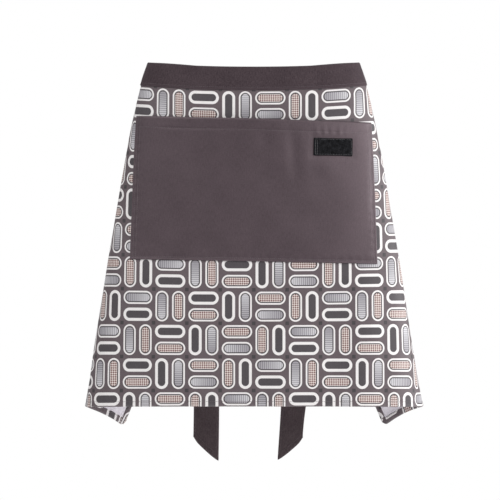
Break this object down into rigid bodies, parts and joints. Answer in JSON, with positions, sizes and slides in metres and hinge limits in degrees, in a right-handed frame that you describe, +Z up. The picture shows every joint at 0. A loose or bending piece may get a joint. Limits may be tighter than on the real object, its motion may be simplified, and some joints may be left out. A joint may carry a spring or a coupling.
{
  "type": "waist apron",
  "caption": "Short waist apron, worn and tied: printed skirt open at the back, folded band, wide patch pocket with a hook-and-loop patch, and ties knotted behind.",
  "frame": {"origin": "middle of the waist hollow, level with the middle of the band's front", "axes": "+Z up the wearer's body, -Y the way the apron's front faces, +X to the right as seen from the front"},
  "size_m": [0.514, 0.173, 0.6138],
  "materials": {
    "printed_cloth": "matt printed poly-cotton, pale inside",
    "plain_cloth": "matt dark mauve-grey poly-cotton twill",
    "hook_loop_tape": "black pile"
  },
  "bodies": {
    "root": {"skirt": "printed_cloth", "waistband": "plain_cloth", "pocket": "plain_cloth", "hook_loop_patch": "hook_loop_tape", "tie_left": "plain_cloth", "tie_right": "plain_cloth", "tie_knot": "plain_cloth"}
  },
  "joints": []
}
